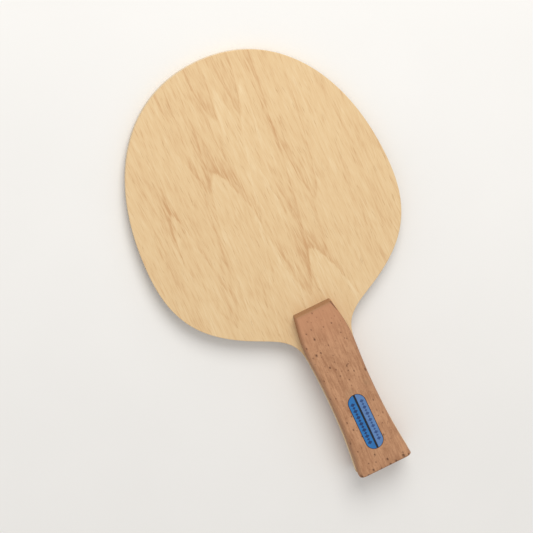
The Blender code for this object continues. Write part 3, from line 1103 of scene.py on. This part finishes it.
def mark_edge_shade(mesh):
    """Stores how near each point is to the scale's outline, as rim, where the finish paints shade."""
    points = points_of(mesh)
    half = np.interp(points[:, 1], SECTIONS[:, 0], SECTIONS[:, 1])
    ends = np.minimum(SECTIONS[-1, 0] - points[:, 1], points[:, 1] - SECTIONS[0, 0])
    share = 1 - np.clip(np.minimum(half - np.abs(points[:, 0]), ends) / EDGE_SHADE_WIDTH, 0.0, 1.0)
    store(mesh, "rim", share ** 2)


def finish_scale(node, form, marks, way, finish, seed):
    """Presses the pits into one scale, and settles it in its place."""
    known = placed_pits(node + "_marks", marks, form, way)
    sizes = {
        "Pit Distance": 3.0 * MM,
        "Pits Per Square Metre": 60000.0,
        "Pit Radius": 0.42 * MM,
        "Pit Depth": 0.38 * MM,
        "Surface Grain": 0.022 * MM,
        "Seed": seed,
        "Placed Pits": known,
        "Material": finish,
    }
    made = pits.grow(node + "_piece", form, sizes)
    bpy.data.objects.remove(known)
    made.data.shade_smooth()
    made.data.set_sharp_from_angle(angle=PIT_EDGE_ANGLE)
    mark_edge_shade(made.data)
    settle(made, "cork", node)


finish_scale(FRONT, front_form, [*FRONT_PITS, *CRACK], 1, cork_front, 11)
finish_scale(REAR, rear_form, REAR_PITS, -1, cork_rear, 23)

# %% [markdown]
# ## The badge
#
# The base and the two enamelled halves are plates cut to their CAD outlines by the same tree as
# the plies. Their tops are lowered by the thickness of the ink, so that the marks still end level
# with the CAD. The glue under the base is hidden, and its CAD node keeps its shape and gets a
# finish of its own.

# %% Cut the badge's plates
INK = 0.03 * MM
BADGE_STEP = 0.4 * MM
BASE_ROUNDING = 0.12 * MM
INLAY_ROUNDING = 0.09 * MM
cut_plate("badge_base", base_black, "badge_black", BASE_ROUNDING, BADGE_STEP)
cut_plate("badge_inlay_left", deep_blue, "badge_deep_blue", INLAY_ROUNDING, BADGE_STEP, INK)
cut_plate("badge_inlay_right", pale_blue, "badge_pale_blue", INLAY_ROUNDING, BADGE_STEP, INK)
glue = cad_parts["badge_adhesive"]
for slot in glue.material_slots:
    slot.material = glue_amber
print("glue slots:", len(glue.material_slots))

# %% [markdown]
# ## The rows of marks
#
# Each half carries one row of marks: a lozenge, then a pip, over and over. It is the same small
# shape set down again and again, so a Geometry Nodes tree makes it: a line of points, a lozenge
# on each, every other one shrunk to a pip, and all of it raised by the thickness of the ink.

# %% The tree for a row of marks
MARK_SIZES = ("Pitch", "Mark Length", "Mark Width", "Pip Share", "Ink")
marks = Recipe("row_of_marks", {"Start": "Vector", "Count": "Int", **dict.fromkeys(MARK_SIZES, "Float")})
stride = marks.xyz(y=marks.given("Pitch") * -1.0)
line = {"Count": marks.given("Count"), "Start Location": marks.given("Start"), "Offset": stride}
row = marks.node("GeometryNodeMeshLine", None, line)
row = marks.node("GeometryNodeMeshToPoints", None, {0: row})
number = marks.node("GeometryNodeInputIndex")
every_other = number.maths("MODULO", number, 2.0)
share = 1.0 - every_other * (1.0 - marks.given("Pip Share"))
wide = marks.given("Mark Width") * share
long = marks.given("Mark Length") * share
lozenge = marks.node("GeometryNodeMeshCircle", {"fill_type": "NGON"}, {"Vertices": 4, "Radius": 0.5})
set_down = {0: row, "Instance": lozenge, "Scale": marks.xyz(wide, long, 1.0)}
row = marks.node("GeometryNodeInstanceOnPoints", None, set_down)
row = marks.node("GeometryNodeRealizeInstances", None, {0: row})
up = marks.xyz(z=marks.given("Ink"))
solid = marks.node("GeometryNodeExtrudeMesh", None, {0: row, "Offset": up, "Offset Scale": 1.0})
under = marks.node("GeometryNodeFlipFaces", None, {0: row})
solid = marks.joined(solid, under)
marks.close(marks.node("GeometryNodeMergeByDistance", None, {0: solid, "Distance": SAME_POINT}))
print("marks tree:", len(marks.tree.nodes), "nodes")

# %% Set down both rows
MARK_COUNT = 13
MARK_PITCH = 2.05 * MM
MARK_DEPTH = 1.5 * INK
# Width and length of a mark, and the size of a pip as a share of it.
DEEP_MARK = (2.8 * MM, 2.4 * MM, 0.7)
PALE_MARK = (2.5 * MM, 2.3 * MM, 0.65)


def mark_row(node, slot, finish, width, length, pip):
    """One row along the middle of a half, level with the CAD and sunk a little into the plate."""
    low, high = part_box(node)
    first = (low[1] + high[1]) / 2 + MARK_PITCH * (MARK_COUNT - 1) / 2
    sizes = {
        "Start": ((low[0] + high[0]) / 2, first, high[2] - MARK_DEPTH),
        "Count": MARK_COUNT,
        "Pitch": MARK_PITCH,
        "Mark Length": length,
        "Mark Width": width,
        "Pip Share": pip,
        "Ink": MARK_DEPTH,
        "Material": finish,
    }
    settle(marks.grow(node + "_marks", bpy.data.meshes.new(node), sizes), slot)


mark_row("badge_inlay_left", "badge_deep_blue", deep_ink, *DEEP_MARK)
mark_row("badge_inlay_right", "badge_pale_blue", pale_ink, *PALE_MARK)

# %% [markdown]
# ## The table under it
#
# A real blade like this doesn't lie level. It rests on the butt edge of the rear scale and on the
# tip of the head, so the table is a plane through those two places, a little out of level with
# the blade. It is a plain pale board, marked as stage, because it isn't part of the object.

# %% Lay the table
TABLE_SHADE = paint(236, 235, 232)
TABLE_WHITE = paint(240, 239, 236)
TABLE_REACH = 3.0
TABLE_GAP = 0.05 * MM
BUTT_ROUNDING = 1.5 * MM
butt_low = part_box(REAR)[0]
tip_low, tip_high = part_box("rear_face_veneer")
butt_rest = butt_low[1] + BUTT_ROUNDING
table_rise = (tip_low[2] - butt_low[2]) / (tip_high[1] - butt_rest)


def table_point(x, y):
    return (x, y, (y - butt_rest) * table_rise - TABLE_GAP)


corners = ((-1, -1), (1, -1), (1, 1), (-1, 1))
places = [table_point(x * TABLE_REACH, y * TABLE_REACH) for x, y in corners]
table_mesh = bpy.data.meshes.new("table_top")
table_mesh.from_pydata(places, [], [(0, 1, 2, 3)])
table_top = add("table_top", table_mesh)
board = Finish("table_white", {"Roughness": 0.6, "Specular IOR Level": 0.2})
mottle = board.noise(board.place, (90.0, 90.0, 90.0), 3.0)
white = board.blend(board.step(mottle, -1.0, 1.0), TABLE_SHADE, TABLE_WHITE)
board.feed(Base_Color=white)
table_mesh.materials.append(board.material)
table_top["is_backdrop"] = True
print("table out of level by", round(math.degrees(math.atan(table_rise)), 2), "degrees")

# %% [markdown]
# ## Light
#
# The light is what a window gives on a bright day: one soft source high beyond the head, and pale
# walls all round. It stands high enough that the blade's own edge stays greyer than its face, and
# the table under it darkens gently towards the butt. The walls fill the shadows. Both are near
# white, so the wood and the cork keep their own colours.

# %% Window and walls
WINDOW_BEYOND = 0.7
WINDOW_RIGHT = 0.04
WINDOW_HEIGHT = 0.95
WINDOW_SIZE = 0.7
WINDOW_POWER = 7.0
WINDOW_COLOUR = (1.0, 0.985, 0.96)
WALL_LIGHT = 0.64
WALL_COLOUR = (1.0, 0.985, 0.98, 1.0)

place = CAMERA_AIM - picture_down * WINDOW_BEYOND + picture_right * WINDOW_RIGHT
place = place + Vector((0.0, 0.0, WINDOW_HEIGHT))
light = bpy.data.lights.new("window", "AREA")
light.shape = "DISK"
light.size = WINDOW_SIZE
light.energy = WINDOW_POWER
light.color = WINDOW_COLOUR
window = add("window", light)
turn = (CAMERA_AIM - place).to_track_quat("-Z", "Y").to_matrix().to_4x4()
window.matrix_world = Matrix.Translation(place) @ turn

world = bpy.data.worlds.new("walls")
world.use_nodes = True
walls = world.node_tree.nodes["Background"]
walls.inputs["Color"].default_value = WALL_COLOUR
walls.inputs["Strength"].default_value = WALL_LIGHT
bpy.context.scene.world = world
bpy.context.scene.view_settings.view_transform = "Standard"
print("window at", [round(value, 2) for value in place])

# %% [markdown]
# ## The sizes at the end
#
# The finished object has to keep the size of the CAD model, so both boxes are printed for
# comparison.

# %% Print the sizes and finish
new_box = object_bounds()
sizes = {
    "cad": [list(corner) for corner in CAD_BOX],
    "visual": [list(corner) for corner in new_box],
}
for label, box in sizes.items():
    print(label, [[round(value / MM, 2) for value in corner] for corner in box])
